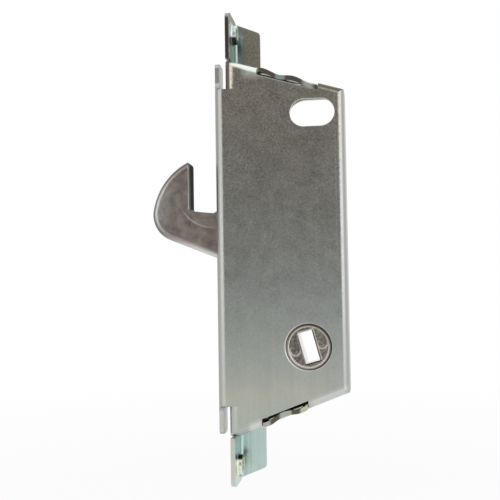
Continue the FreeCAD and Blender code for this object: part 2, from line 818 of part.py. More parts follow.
TABS = (
    (top_line, top_slope, 1, top_tab_start, top_tab_length, top_crimp_lead, top_crimp_pitch),
    (
        bottom_line,
        bottom_slope,
        -1,
        bottom_tab_start,
        bottom_tab_length,
        bottom_crimp_lead,
        bottom_crimp_pitch,
    ),
)
HOOK_PIN = polar(pivot_x, pivot_z, crank_radius, crank_angle)
HUB_PIN = polar(hub_x, hub_z, crank_radius, crank_angle)
LEAF_TOP = hub_z - cam_flat - leaf_gap
LEAF_POST = (leaf_start_x, LEAF_TOP - leaf_thickness - pin_clearance - leaf_post_radius)
SUPPORT_POST = (support_x, LEAF_TOP - leaf_thickness - leaf_gap - support_post_radius)
STOP_POST = (
    stop_arm_x - (stop_radius + stop_gap) * math.cos(math.radians(hook_lower_angle() - 180)),
    lower_edge(stop_arm_x) - (stop_radius + stop_gap) * math.sin(math.radians(hook_lower_angle() - 180)),
)
STOP_REACH = math.hypot(STOP_POST[0] - pivot_x, STOP_POST[1] - pivot_z)
STOP_ANGLE = math.degrees(math.atan2(STOP_POST[1] - pivot_z, STOP_POST[0] - pivot_x))
HEEL_SPREAD = math.degrees(math.asin((stop_radius + heel_radius + stop_gap) / STOP_REACH))
HEEL = polar(pivot_x, pivot_z, STOP_REACH, STOP_ANGLE + HEEL_SPREAD + swing)
POSTS = ((pivot_x, pivot_z), STOP_POST, LEAF_POST, SUPPORT_POST)


PARTS = {
    "case_body": case_body,
    "cover_plate": cover_plate,
    "hook_bolt": hook_bolt,
    "hook_pivot_post": lambda: post(pivot_x, pivot_z, pivot_radius),
    "hook_washer_near": lambda: washer(near_inner + washer_play, hook_near - washer_play),
    "hook_washer_far": lambda: washer(hook_far + washer_play, far_inner - washer_play),
    "hook_link_pin": hook_link_pin,
    "keyway_hub": keyway_hub,
    "hub_link_pin": hub_link_pin,
    "drive_link": drive_link,
    "detent_spring": detent_spring,
    "spring_anchor_post": lambda: post(LEAF_POST[0], LEAF_POST[1], leaf_post_radius),
    "spring_support_post": lambda: post(SUPPORT_POST[0], SUPPORT_POST[1], support_post_radius),
    "stop_post": lambda: post(STOP_POST[0], STOP_POST[1], stop_radius),
}


if __name__ == "__main__":
    os.makedirs("parts", exist_ok=True)
    for name, make in PARTS.items():
        shape = make()
        if len(shape.Solids) != 1 or not shape.isValid():
            print(name, "has", len(shape.Solids), "solids, valid:", shape.isValid())
        shape.exportStep("parts/" + name + ".step")
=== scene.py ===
import json
import math

import bpy
from mathutils import Matrix, Vector


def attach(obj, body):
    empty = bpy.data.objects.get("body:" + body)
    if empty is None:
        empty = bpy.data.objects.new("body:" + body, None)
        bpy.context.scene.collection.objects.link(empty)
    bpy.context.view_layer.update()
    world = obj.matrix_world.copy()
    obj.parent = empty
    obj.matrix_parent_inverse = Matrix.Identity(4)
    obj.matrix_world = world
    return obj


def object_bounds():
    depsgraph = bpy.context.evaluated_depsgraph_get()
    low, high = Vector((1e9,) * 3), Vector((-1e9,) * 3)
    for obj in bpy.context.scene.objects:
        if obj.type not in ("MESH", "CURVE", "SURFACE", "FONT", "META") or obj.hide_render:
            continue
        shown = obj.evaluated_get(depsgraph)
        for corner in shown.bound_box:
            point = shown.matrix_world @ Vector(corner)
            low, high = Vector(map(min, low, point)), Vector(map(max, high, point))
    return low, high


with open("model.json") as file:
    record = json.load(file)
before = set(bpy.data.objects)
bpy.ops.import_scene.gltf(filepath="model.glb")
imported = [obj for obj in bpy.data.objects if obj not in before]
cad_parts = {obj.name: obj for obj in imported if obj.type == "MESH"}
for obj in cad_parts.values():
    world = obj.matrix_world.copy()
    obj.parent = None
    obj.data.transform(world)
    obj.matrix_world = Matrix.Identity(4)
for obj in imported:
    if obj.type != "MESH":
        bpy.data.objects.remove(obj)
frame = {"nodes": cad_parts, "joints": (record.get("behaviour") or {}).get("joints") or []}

CAD_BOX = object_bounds()
NODES = frame["nodes"]
JOINTS = {joint["name"]: joint for joint in frame["joints"]}
MM = 0.001

# Where the photograph was taken from, in millimetres and degrees
CAMERA_PLACE = (45.61, -269.0, -14.77)
CAMERA_YAW = 8.365
CAMERA_PITCH = 2.902
CAMERA_ROLL = -0.877
LENS_MM = 61.79
SENSOR_MM = 36.0

# Studio, in millimetres and watts
FLOOR_GAP = 2.0
FLOOR_HALF = 2500.0
FLOOR_PAINT = (0.82, 0.82, 0.82)
FLOOR_PAINT_SHARE = 0.07
FLOOR_FADE_START = 60.0
FLOOR_FADE_END = 330.0
CARD_PAINT = (0.36, 0.34, 0.32)
CARD_LEFT = -430.0
CARD_RIGHT = 190.0
CARD_BACK = -750.0
CARD_TOP = 430.0
MATT = 0.9
WORLD_LIGHT = 0.55
LAMP_SIZE = 1150.0
LEFT_LAMP = (-1000.0, -850.0, 350.0)
LEFT_LAMP_WATTS = 3.7
RIGHT_LAMP = (950.0, -900.0, 300.0)
RIGHT_LAMP_WATTS = 4.3

# Plating, paler below as a painted reflection: heights in millimetres where its colour changes, from the
# lower ear to the upper one
PLATING_AND_REFLECTION_BY_HEIGHT = (
    (-72.0, (0.430, 0.490, 0.450)),
    (-60.0, (0.450, 0.490, 0.440)),
    (-48.0, (0.515, 0.525, 0.455)),
    (-38.0, (0.450, 0.482, 0.445)),
    (-15.0, (0.442, 0.470, 0.450)),
    (5.0, (0.425, 0.440, 0.422)),
    (30.0, (0.408, 0.398, 0.360)),
    (58.0, (0.420, 0.390, 0.330)),
    (72.0, (0.400, 0.390, 0.320)),
)
PLATING_WANDER = 7.0
# Painted reflection: an even tone laid on the folds, chosen by the way they face
FOLD_REFLECTION_TINT = (0.415, 0.425, 0.410)
GRAIN_SIZE = 0.5
STREAK_SIZE = 1.4
STREAK_STRETCH = (1.0, 1.0, 0.03)

# Sloping edges of the case: a point on each, X and Z in millimetres, and its slope in degrees
TOP_EDGE = (1.0, 58.7, -16.7)
BOTTOM_EDGE = (2.7, -58.7, 21.5)

# Painted shade and painted highlights on the case: where each lies in millimetres, how soft its ends are,
# and its tint.
# The two bands lie along the sloping edges, by their distance inside the edge.
# Painted shade on the front wall, its bend and the back wall; a painted highlight along a line beside the
# back wall
FRONT_WALL = {"soft": 0.7, "X": (-5.0, -2.9), "Z": (-49.5, 49.5)}
FRONT_WALL_SHADE = (0.270, 0.260, 0.245)
FRONT_BEND = {"soft": 0.2, "X": (-6.0, -0.9), "Y": (-7.0, -2.0), "Z": (-49.5, 49.5)}
FRONT_BEND_SHADE = (0.300, 0.300, 0.285)
BACK_WALL = {"soft": 0.8, "X": (36.0, 38.0), "Z": (-60.0, 60.0)}
BACK_WALL_SHADE = (0.310, 0.310, 0.300)
BACK_HIGHLIGHT_LINE = {"soft": 0.15, "X": (33.7, 34.1), "Y": (-7.0, -6.2)}
BACK_HIGHLIGHT_LINE_GAIN = (1.30, 1.22, 1.20)
# Painted dark reflection on the shoulder's fold
SHOULDER = {"soft": 0.12, "X": (-0.6, 1.25), "Y": (-7.0, -3.0), "Z": (49.4, 58.6)}
SHOULDER_DARK_REFLECTION = (0.125, 0.100, 0.075)
# Painted highlight along the tongue edges at both ends
TONGUE_EDGE = {"soft": 0.2, "X": (-4.5, 1.0), "Y": (-3.7, -3.3), "Z": (50.0, 60.0)}
TONGUE_EDGE_HIGHLIGHT = (0.580, 0.585, 0.540)
# Painted shade on the far end of the upward-facing top fold, and a painted highlight on its root
TOP_FOLD_END = {"soft": 1.0, "X": (28.0, 38.0), "Z": (44.0, 56.0)}
TOP_FOLD_END_SHADE = (0.150, 0.130, 0.105)
TOP_FOLD_ROOT = {"soft": 0.8, "X": (1.5, 9.5), "Z": (54.0, 60.0)}
TOP_FOLD_ROOT_HIGHLIGHT = (0.930, 0.950, 0.900)
# Painted highlight on the top corner near the ear
TOP_CORNER = {"soft": 1.2, "X": (5.5, 11.0), "Y": (-8.0, -4.2), "Z": (53.0, 60.0)}
TOP_CORNER_HIGHLIGHT = (0.880, 0.950, 0.860)
# Painted highlights just inside the bottom edge, right of the tab and left of the slot
LOW_RIGHT = {"soft": 1.0, "X": (25.0, 36.0), "Y": (-7.0, -4.0), "Z": (-56.0, -40.0)}
LOW_RIGHT_HIGHLIGHT = (0.720, 0.730, 0.710)
LOW_LEFT = {"soft": 0.8, "X": (6.0, 9.8), "Y": (-7.0, -4.0), "Z": (-59.0, -50.0)}
LOW_LEFT_HIGHLIGHT = (0.780, 0.800, 0.760)
# Painted highlight along the window's lower edge, inside the top edge
WINDOW_RIM = {"soft": 0.6, "X": (9.8, 27.0), "Y": (-7.0, -6.0), "Z": (46.0, 57.0)}
WINDOW_RIM_HIGHLIGHT = (0.660, 0.740, 0.660)
WINDOW_RIM_BAND = (2.3, 2.75)
LOW_BAND = (-1.0, 2.4)
# Painted highlight: a pale ring around the hub, stronger on its left
HALO = (6.80, 7.45)
HALO_HIGHLIGHT = (0.860, 0.880, 0.820)

# Marks on the cover's ears, told in the same way
LOWER_EAR = {"soft": 1.5, "Z": (-78.0, -60.0)}
LOWER_FLANGE = {"soft": 0.5, "X": (1.5, 12.5), "Y": (3.5, 5.5), "Z": (-76.0, -52.0)}
LOWER_EAR_TINT = (0.520, 0.650, 0.620)
LOWER_EAR_EDGE = {"soft": 0.1, "X": (-0.5, 1.2), "Y": (-6.6, -6.25), "Z": (-76.0, -59.0)}
LOWER_EAR_EDGE_TINT = (0.600, 0.595, 0.515)
UPPER_EAR_EDGE = {"soft": 0.1, "X": (-0.5, 1.1), "Y": (-6.6, -6.25), "Z": (59.2, 76.0)}
UPPER_EAR_EDGE_TINT = (0.125, 0.095, 0.098)
# Painted shade on the upper ear's inner face
UPPER_EAR_INSIDE = {"soft": 0.3, "X": (1.35, 2.3), "Y": (-6.2, 6.0), "Z": (69.0, 76.0)}
UPPER_EAR_INSIDE_SHADE = (0.200, 0.200, 0.130)
UPPER_EAR_DULL = {"soft": 0.3, "X": (1.35, 2.3), "Y": (-6.2, 6.0), "Z": (70.5, 76.0)}
UPPER_FLANGE_ROOT = {"soft": 0.6, "X": (2.3, 4.4), "Y": (3.0, 6.0), "Z": (59.0, 72.5)}
UPPER_EAR_ROOT = {"soft": 0.4, "X": (1.35, 4.4), "Y": (-6.2, 6.0), "Z": (59.2, 68.6)}
UPPER_EAR_ROOT_TINT = (0.270, 0.360, 0.320)
UPPER_FLANGE_END = {"soft": 0.1, "X": (9.25, 10.2), "Y": (4.0, 7.0), "Z": (59.0, 72.5)}
UPPER_FLANGE_END_TINT = (0.200, 0.170, 0.160)
FLANGE_LINES = {"soft": 1.0, "X": (1.8, 8.0), "Y": (2.0, 7.0), "Z": (52.0, 76.0)}
FLANGE_LINE_SIZE = 0.45
FLANGE_LINE_DEPTH = 0.16

# Ear collars: how far their tints reach, and for each its height, its tint, a painted reflection,
# the tint of the half turned to the case, a painted shadow, and the heights between which that half lies
EAR_HOLE_HEIGHT = 68.2625
COLLAR_REACH = 3.7
COLLAR_DEPTH = (1.4, 3.4)
COLLARS = (
    (EAR_HOLE_HEIGHT, (0.750, 0.850, 0.850), (0.030, 0.030, 0.030), (60.0, 67.0)),
    (-EAR_HOLE_HEIGHT, (0.850, 0.850, 0.700), (0.030, 0.030, 0.050), (-66.3, -60.0)),
)

# Painted shade and highlights on the crimped tabs of the cover, and along X the first crest and the
# length of their waves
UPPER_TAB = {"soft": 0.2, "X": (9.5, 29.5), "Y": (-6.6, -3.0), "Z": (45.0, 58.0)}
UPPER_TAB_SHADE = (0.200, 0.188, 0.160)
UPPER_TAB_END = {"soft": 0.7, "X": (24.6, 27.4), "Y": (-6.6, -3.0), "Z": (45.0, 58.0)}
UPPER_TAB_END_HIGHLIGHT = (0.950, 0.980, 0.930)
UPPER_VALLEY_HIGHLIGHT = (0.620, 0.760, 0.660)
UPPER_CREST = 13.0
UPPER_WAVE = 8.4
LOWER_TAB = {"soft": 0.2, "X": (9.5, 24.5), "Y": (-6.6, -3.0), "Z": (-58.0, -46.0)}
LOWER_TAB_END = {"soft": 0.5, "X": (21.8, 24.5), "Y": (-6.6, -3.0), "Z": (-58.0, -46.0)}
LOWER_TAB_END_HIGHLIGHT = (0.640, 0.640, 0.460)
LOWER_CREST_SHADE = (0.130, 0.112, 0.090)
LOWER_CREST = 13.9
LOWER_WAVE = 6.5

# Crimps pressed under the tabs, in millimetres: the case edge that they follow, where the first one
# sits along X, how far apart they are along the edge, how deep they sit below it and their half sizes
CRIMP_COUNT = 2
CRIMP_MIDDLE_Y = -4.6
UPPER_CRIMPS = {
    "edge": TOP_EDGE,
    "start": 13.3,
    "pitch": 8.4,
    "below": 1.6,
    "half_sizes": (3.0, 1.4, 0.55),
}
LOWER_CRIMPS = {
    "edge": BOTTOM_EDGE,
    "start": 13.9,
    "pitch": 7.0,
    "below": 1.35,
    "half_sizes": (2.7, 1.4, 0.5),
}
CRIMP_DARK = (0.400, 0.390, 0.340)
CRIMP_LIGHT = (0.620, 0.620, 0.520)
# Painted highlight on the crimps' rims that face up and down
CRIMP_RIM_HIGHLIGHT = (0.700, 0.710, 0.560)
CRIMP_SEGMENTS = 40
CRIMP_RINGS = 20

# What every straight row of crimps or thread turns is told
ROW_INPUTS = (("Count", "Int"), ("Start", "Vector"), ("Step", "Vector"), ("Turn", "Vector"))

# Screw threads in the ears, in millimetres
THREAD_RADIUS = 1.76
THREAD_RIDGE = 0.13
THREAD_PITCH = 0.62
THREAD_START = 0.45
THREAD_TURNS = 4
THREAD_DARK = (0.400, 0.420, 0.400)
THREAD_LIGHT = (0.620, 0.640, 0.600)
THREAD_SEGMENTS = 48
RIDGE_SEGMENTS = 10

# Hook: its colours, with painted highlights on its rim, step and burr, painted shade on its edges and a
# painted shadow beside the step, and in millimetres the middle of its round back, the step beside its
# throat and where the burr and the sheared wall of the throat lie
HOOK_DARK = (0.262, 0.218, 0.195)
HOOK_LIGHT = (0.395, 0.350, 0.325)
HOOK_RIM_HIGHLIGHT = (0.455, 0.468, 0.435)
HOOK_EDGE_SHADING = (0.185, 0.190, 0.178)
HOOK_EDGE_SHADING_BELOW = (0.660, 0.670, 0.640)
HOOK_EDGE_SHADING_TIP = (0.150, 0.140, 0.130)
# Dark colour of the sheared throat wall, also used as painted shade there and as a painted shadow beside
# the step
HOOK_SHEARED_AND_SHADOW = (0.060, 0.054, 0.040)
HOOK_BACK_CENTRE = (-2.0, 8.0)
STEP_CENTRE = (-4.9, 18.1)
STEP_RADIUS = 11.85
STEP_PLACE = {"soft": 1.5, "X": (-14.5, -5.0), "Y": (-6.0, -1.0), "Z": (6.0, 13.0)}
THROAT_BURR = {"soft": 0.12, "X": (-13.15, -12.6), "Y": (-3.4, -3.0), "Z": (12.2, 26.0)}
THROAT_BURR_HIGHLIGHT = (0.820, 0.750, 0.710)
THROAT = {"soft": 0.1, "X": (-13.2, -3.0), "Z": (9.0, 30.0)}

# Hub, in millimetres: its colours, with painted shade on its left side and keyway bevel, its two cast
# marks with painted highlights on their rims, its rings as inner and outer distances from the middle (a
# painted shadow in the gap, a painted highlight on the slope, the face ring brown and painted lighter
# below), and its keyway, whose two lines, a painted highlight and a painted shade, are each a width
# beside it, a height past its end and a tint
CAST_DARK = (0.085, 0.070, 0.058)
CAST_LIGHT = (0.410, 0.378, 0.332)
CAST_LEFT_SHADE = 0.78
MARK_OFFSET = 4.3
MARK_RADIUS = 1.35
MARK_RIM = 0.4
MARK_RIM_HIGHLIGHT = (0.800, 0.770, 0.700)
FACE_RING = (6.32, 7.2)
FACE_RING_LOW_TINT = (0.460, 0.420, 0.380)
FACE_RING_HIGH_TINT = (0.240, 0.200, 0.175)
# Painted shadow in the gap around the hub, stronger on its right
GAP_SHADOW_RING = (6.62, 7.2)
GAP_SHADOW_RING_TINT = (0.060, 0.050, 0.045)
FACE_SLOPE = (6.02, 6.32)
FACE_SLOPE_HIGHLIGHT = (0.780, 0.750, 0.690)
KEY_TILT = 15.0
KEY_WIDTH = 4.5
KEY_LENGTH = 9.6
KEY_REACH = 5.6
KEY_BEVEL_SHADE = (0.060, 0.050, 0.045)
KEY_WALL_TINT = (0.950, 0.950, 0.940)
KEY_PALE_LINE = (0.75, 0.45, (0.660, 0.620, 0.550))
KEY_DARK_LINE = (0.40, 0.40, (0.045, 0.040, 0.035))

# Posts, pins, washers and link, and the leaf spring
TURNED_DARK = (0.360, 0.360, 0.350)
TURNED_LIGHT = (0.500, 0.500, 0.490)
BLUED_DARK = (0.100, 0.100, 0.130)
BLUED_LIGHT = (0.200, 0.200, 0.230)


def start_material(name):
    """A new material, its node tree, its surface shader and the place on the object in millimetres."""
    material = bpy.data.materials.new(name)
    material.use_nodes = True
    tree = material.node_tree
    surface = tree.nodes["Principled BSDF"]
    where = tree.nodes.new("ShaderNodeTexCoord")
    in_mm = tree.nodes.new("ShaderNodeVectorMath")
    in_mm.operation = "SCALE"
    in_mm.inputs["Scale"].default_value = 1.0 / MM
    tree.links.new(where.outputs["Object"], in_mm.inputs[0])
    return material, tree, surface, in_mm.outputs["Vector"]


def finish_metal(tree, surface, colour, roughness, normal):
    """Gives a bare metal surface its colour, its roughness and its direction."""
    surface.inputs["Metallic"].default_value = 1.0
    tree.links.new(colour, surface.inputs["Base Color"])
    tree.links.new(normal, surface.inputs["Normal"])
    if isinstance(roughness, float):
        surface.inputs["Roughness"].default_value = roughness
    else:
        tree.links.new(roughness, surface.inputs["Roughness"])


def arithmetic(tree, operation, first, second=0.0):
    """One sum, product or other operation on two values or sockets."""
    node = tree.nodes.new("ShaderNodeMath")
    node.operation = operation
    for socket, value in zip(node.inputs, (first, second)):
        if isinstance(value, float):
            socket.default_value = value
        else:
            tree.links.new(value, socket)
    return node.outputs[0]


def product(tree, first, second):
    """The product of two values or sockets."""
    return arithmetic(tree, "MULTIPLY", first, second)


def axes(tree, vector):
    """The X, Y and Z parts of a vector, by name."""
    node = tree.nodes.new("ShaderNodeSeparateXYZ")
    tree.links.new(vector, node.inputs["Vector"])
    return {name: node.outputs[name] for name in "XYZ"}


def facing(tree):
    """The parts of the surface's own direction, as the body carries it."""
    where = tree.nodes.new("ShaderNodeTexCoord")
    return axes(tree, where.outputs["Normal"])


def both_ends(tree, parts):
    """The same place with its height made positive, so that both ends of the lock count as one."""
    return {**parts, "Z": arithmetic(tree, "ABSOLUTE", parts["Z"])}


def noise(tree, where, size, detail=3.0, roughness=0.5, stretch=None):
    """Cloudy noise from 0 to 1, with blotches of a size in millimetres."""
    texture = tree.nodes.new("ShaderNodeTexNoise")
    texture.inputs["Scale"].default_value = 1.0 / size
    texture.inputs["Detail"].default_value = detail
    texture.inputs["Roughness"].default_value = roughness
    if stretch:
        mapping = tree.nodes.new("ShaderNodeMapping")
        mapping.inputs["Scale"].default_value = stretch
        tree.links.new(where, mapping.inputs["Vector"])
        where = mapping.outputs["Vector"]
    tree.links.new(where, texture.inputs["Vector"])
    return texture.outputs["Fac"]


def remap(tree, value, low, high, to_low, to_high):
    """Turns a range of one value into another range, and stops at its ends."""
    node = tree.nodes.new("ShaderNodeMapRange")
    node.inputs["From Min"].default_value = low
    node.inputs["From Max"].default_value = high
    node.inputs["To Min"].default_value = to_low
    node.inputs["To Max"].default_value = to_high
    tree.links.new(value, node.inputs["Value"])
    return node.outputs["Result"]


def clouds(tree, where, size, to_low, to_high, detail=3.0, roughness=0.5, stretch=None):
    """Noise whose middle range is spread between two values."""
    return remap(tree, noise(tree, where, size, detail, roughness, stretch), 0.3, 0.7, to_low, to_high)


def within(tree, value, low, high, soft):
    """1 between two limits and 0 outside them, with soft ends."""
    rising = remap(tree, value, low - soft, low + soft, 0.0, 1.0)
    falling = remap(tree, value, high - soft, high + soft, 1.0, 0.0)
    return product(tree, rising, falling)


def zone(tree, parts, soft, **limits):
    """1 inside a block of space and 0 outside it; limits are X, Y and Z pairs."""
    share = None
    for axis, (low, high) in limits.items():
        part = within(tree, parts[axis], low, high, soft)
        share = part if share is None else product(tree, share, part)
    return share


def away_from(tree, parts, x, z):
    """Distance in the side view from a point."""
    dx = arithmetic(tree, "SUBTRACT", parts["X"], x)
    dz = arithmetic(tree, "SUBTRACT", parts["Z"], z)
    squares = arithmetic(tree, "ADD", product(tree, dx, dx), product(tree, dz, dz))
    return arithmetic(tree, "SQRT", squares)


def inside_edge(tree, parts, edge):
    """How far inside a sloping edge of the case a point lies, in millimetres."""
    edge_x, edge_z, degrees = edge
    slope = math.radians(degrees)
    along = product(tree, arithmetic(tree, "SUBTRACT", parts["X"], edge_x), math.sin(slope))
    down = product(tree, arithmetic(tree, "SUBTRACT", edge_z, parts["Z"]), math.cos(slope))
    return product(tree, arithmetic(tree, "ADD", down, along), math.copysign(1.0, edge_z))


def wave(tree, parts, crest, length):
    """A wave along X: 1 on its crests and -1 in its valleys."""
    beyond = arithmetic(tree, "SUBTRACT", parts["X"], crest)
    return arithmetic(tree, "COSINE", product(tree, beyond, 2.0 * math.pi / length))


def blend(tree, share, first, second, how="MIX"):
    """The first colour where the share is 0 and the second where it is 1."""
    node = tree.nodes.new("ShaderNodeMix")
    node.data_type = "RGBA"
    node.blend_type = how
    for socket, value in ((node.inputs[0], share), (node.inputs[6], first), (node.inputs[7], second)):
        if hasattr(value, "is_linked"):
            tree.links.new(value, socket)
        elif isinstance(value, float):
            socket.default_value = value
        else:
            socket.default_value = (*value, 1.0)
    return node.outputs[2]


def tinted(tree, colour, share, tint, strength=1.0):
    """A colour with a tint laid over it where the share is high."""
    return blend(tree, product(tree, share, strength), colour, tint)


def shade(tree, colour, factor):
    """A colour made darker or lighter by a factor."""
    return blend(tree, 1.0, colour, factor, "MULTIPLY")


def patterned(tree, colour, pattern, depth):
    """A colour made lighter and darker by a pattern from -1 to 1."""
    return shade(tree, colour, arithmetic(tree, "ADD", product(tree, pattern, depth), 1.0))


def colours_by_height(tree, height, steps):
    """A colour for every height, blended between the steps."""
    lowest = steps[0][0]
    highest = steps[-1][0]
    ramp = tree.nodes.new("ShaderNodeValToRGB")
    tree.links.new(remap(tree, height, lowest, highest, 0.0, 1.0), ramp.inputs["Fac"])
    stops = ramp.color_ramp.elements
    stops[0].color = (*steps[0][1], 1.0)
    stops[1].color = (*steps[-1][1], 1.0)
    for level, colour in steps[1:-1]:
        stop = stops.new((level - lowest) / (highest - lowest))
        stop.color = (*colour, 1.0)
    return ramp.outputs["Color"]


def bump(tree, height, depth, strength, below=None):
    """A surface direction tilted by a height from 0 to 1 that stands for a depth in millimetres."""
    node = tree.nodes.new("ShaderNodeBump")
    node.inputs["Strength"].default_value = strength
    node.inputs["Distance"].default_value = depth * MM
    tree.links.new(height, node.inputs["Height"])
    if below is not None:
        tree.links.new(below, node.inputs["Normal"])
    return node.outputs["Normal"]


def softened_edges(tree, radius):
    """The surface direction with sharp edges rounded by a small radius in millimetres."""
    node = tree.nodes.new("ShaderNodeBevel")
    node.samples = 4
    node.inputs["Radius"].default_value = radius * MM
    return node.outputs["Normal"]


def zinc_plated_sheet(name, marks, dull_place=None):
    """Clear zinc plating on rolled sheet: brownish above, greenish below, and paler below as a painted
    reflection; a painted reflection also lies on the folds.
    """
    material, tree, surface, where = start_material(name)
    parts = axes(tree, where)
    flatness = arithmetic(tree, "ABSOLUTE", facing(tree)["Y"])
    wander = clouds(tree, where, 26.0, -PLATING_WANDER, PLATING_WANDER)
    height = arithmetic(tree, "ADD", parts["Z"], wander)
    # Plating tone by height, paler below as a painted reflection
    colour = colours_by_height(tree, height, PLATING_AND_REFLECTION_BY_HEIGHT)
    colour = shade(tree, colour, clouds(tree, where, 11.0, 0.97, 1.03, 4.0, 0.6))
    grain = clouds(tree, where, GRAIN_SIZE, -1.0, 1.0, 2.0, 0.7)
    colour = patterned(tree, colour, grain, remap(tree, parts["Z"], -45.0, 45.0, 0.04, 0.36))
    streaks = clouds(tree, where, STREAK_SIZE, -1.0, 1.0, 2.0, 0.6, STREAK_STRETCH)
    colour = patterned(tree, colour, streaks, remap(tree, parts["Z"], -50.0, 40.0, 0.035, 0.012))
    # Painted reflection on the folds, where the sheet turns away from its flat faces
    colour = tinted(tree, colour, remap(tree, flatness, 0.98, 0.88, 0.0, 1.0), FOLD_REFLECTION_TINT, 0.85)
    colour = marks(tree, parts, colour)
    roughness = clouds(tree, where, 4.0, 0.27, 0.33, 4.0, 0.6)
    if dull_place:
        dull = product(tree, zone(tree, parts, **dull_place), 0.5)
        roughness = arithmetic(tree, "ADD", roughness, dull)
    normal = bump(tree, noise(tree, where, 0.6, 2.0), 0.004, 0.3, softened_edges(tree, 0.18))
    finish_metal(tree, surface, colour, roughness, normal)
    return material


def wall_marks(tree, parts, flatness, colour):
    """Painted shade on the front and back walls and on the front bend, and a painted highlight along a
    line beside the back wall.
    """
    front_share = remap(tree, parts["Z"], 0.0, 45.0, 0.55, 0.9)
    front = product(tree, zone(tree, parts, **FRONT_WALL), front_share)
    colour = tinted(tree, colour, front, FRONT_WALL_SHADE)
    colour = tinted(tree, colour, zone(tree, parts, **BACK_WALL), BACK_WALL_SHADE, 0.35)
    line = product(tree, zone(tree, parts, **BACK_HIGHLIGHT_LINE), remap(tree, parts["Z"], -25.0, 20.0, 0.0, 1.0))
    colour = tinted(tree, colour, line, shade(tree, colour, BACK_HIGHLIGHT_LINE_GAIN))
    bend = product(tree, zone(tree, parts, **FRONT_BEND), within(tree, flatness, 0.5, 0.985, 0.01))
    bend = product(tree, bend, remap(tree, parts["Z"], -40.0, 30.0, 0.05, 0.75))
    return tinted(tree, colour, bend, FRONT_BEND_SHADE)


def edge_marks(tree, parts, turned, colour):
    """Painted light and shade on the tongues, the shoulder and the two sloping edges: a painted dark
    reflection on the shoulder, painted highlights on the tongue edges, the top fold's root, the top
    corner, the bottom edge and the window rim, and painted shade on the top fold's end.
    """
    # Painted dark reflection on the shoulder
    colour = tinted(tree, colour, zone(tree, parts, **SHOULDER), SHOULDER_DARK_REFLECTION)
    # Painted highlight on the tongue edges at both ends
    colour = tinted(tree, colour, zone(tree, both_ends(tree, parts), **TONGUE_EDGE), TONGUE_EDGE_HIGHLIGHT)
    # Painted shade and highlights on the top fold, by the way it faces upward
    top_fold = remap(tree, turned["Z"], 0.15, 0.4, 0.0, 1.0)
    end = product(tree, zone(tree, parts, **TOP_FOLD_END), top_fold)
    colour = tinted(tree, colour, end, TOP_FOLD_END_SHADE)
    root = product(tree, zone(tree, parts, **TOP_FOLD_ROOT), top_fold)
    colour = tinted(tree, colour, root, TOP_FOLD_ROOT_HIGHLIGHT)
    colour = tinted(tree, colour, zone(tree, parts, **TOP_CORNER), TOP_CORNER_HIGHLIGHT)
    # Painted highlights along the bottom edge
    low_band = within(tree, inside_edge(tree, parts, BOTTOM_EDGE), *LOW_BAND, 0.7)
    for place, tint in ((LOW_RIGHT, LOW_RIGHT_HIGHLIGHT), (LOW_LEFT, LOW_LEFT_HIGHLIGHT)):
        low = product(tree, low_band, zone(tree, parts, **place))
        colour = tinted(tree, colour, low, tint, 0.6)
    # Painted highlight along the window rim
    rim = within(tree, inside_edge(tree, parts, TOP_EDGE), *WINDOW_RIM_BAND, 0.12)
    rim = product(tree, rim, zone(tree, parts, **WINDOW_RIM))
    return tinted(tree, colour, rim, WINDOW_RIM_HIGHLIGHT, 0.85)


def case_marks(tree, parts, colour):
    """Painted shade and highlights on the half with the side plate, and a painted highlight in a pale
    ring around the hub.
    """
    turned = facing(tree)
    colour = wall_marks(tree, parts, arithmetic(tree, "ABSOLUTE", turned["Y"]), colour)
    colour = edge_marks(tree, parts, turned, colour)
    hub_x, _, hub_z = (value / MM for value in JOINTS["hub_turn"]["pos_m"])
    # Painted highlight in a pale ring around the hub, stronger on its left
    halo = within(tree, away_from(tree, parts, hub_x, hub_z), *HALO, 0.2)
    halo = product(tree, halo, remap(tree, parts["X"], hub_x - 6.0, hub_x + 7.0, 0.8, 0.05))
    return tinted(tree, colour, halo, HALO_HIGHLIGHT)


def ear_marks(tree, parts, colour):
    """Tints of the two ears and their flanges, with painted shade on the upper ear's inner face and lines
    that run straight up.
    """
    for place, tint, strength in (
        (LOWER_EAR, LOWER_EAR_TINT, 1.0),
        (LOWER_FLANGE, LOWER_EAR_TINT, 1.0),
        (LOWER_EAR_EDGE, LOWER_EAR_EDGE_TINT, 1.0),
        (UPPER_EAR_EDGE, UPPER_EAR_EDGE_TINT, 1.0),
        # painted shade on the upper ear's inner face
        (UPPER_EAR_INSIDE, UPPER_EAR_INSIDE_SHADE, 0.9),
        (UPPER_FLANGE_ROOT, UPPER_EAR_ROOT_TINT, 0.7),
        (UPPER_FLANGE_END, UPPER_FLANGE_END_TINT, 0.7),
    ):
        colour = tinted(tree, colour, zone(tree, parts, **place), tint, strength)
    across = tree.nodes.new("ShaderNodeCombineXYZ")
    tree.links.new(parts["X"], across.inputs["X"])
    lines = clouds(tree, across.outputs["Vector"], FLANGE_LINE_SIZE, -1.0, 1.0, 2.0, 0.6)
    ruled = product(tree, zone(tree, both_ends(tree, parts), **FLANGE_LINES), FLANGE_LINE_DEPTH)
    colour = patterned(tree, colour, lines, ruled)
    return tinted(tree, colour, zone(tree, parts, **UPPER_EAR_ROOT), UPPER_EAR_ROOT_TINT, 0.85)


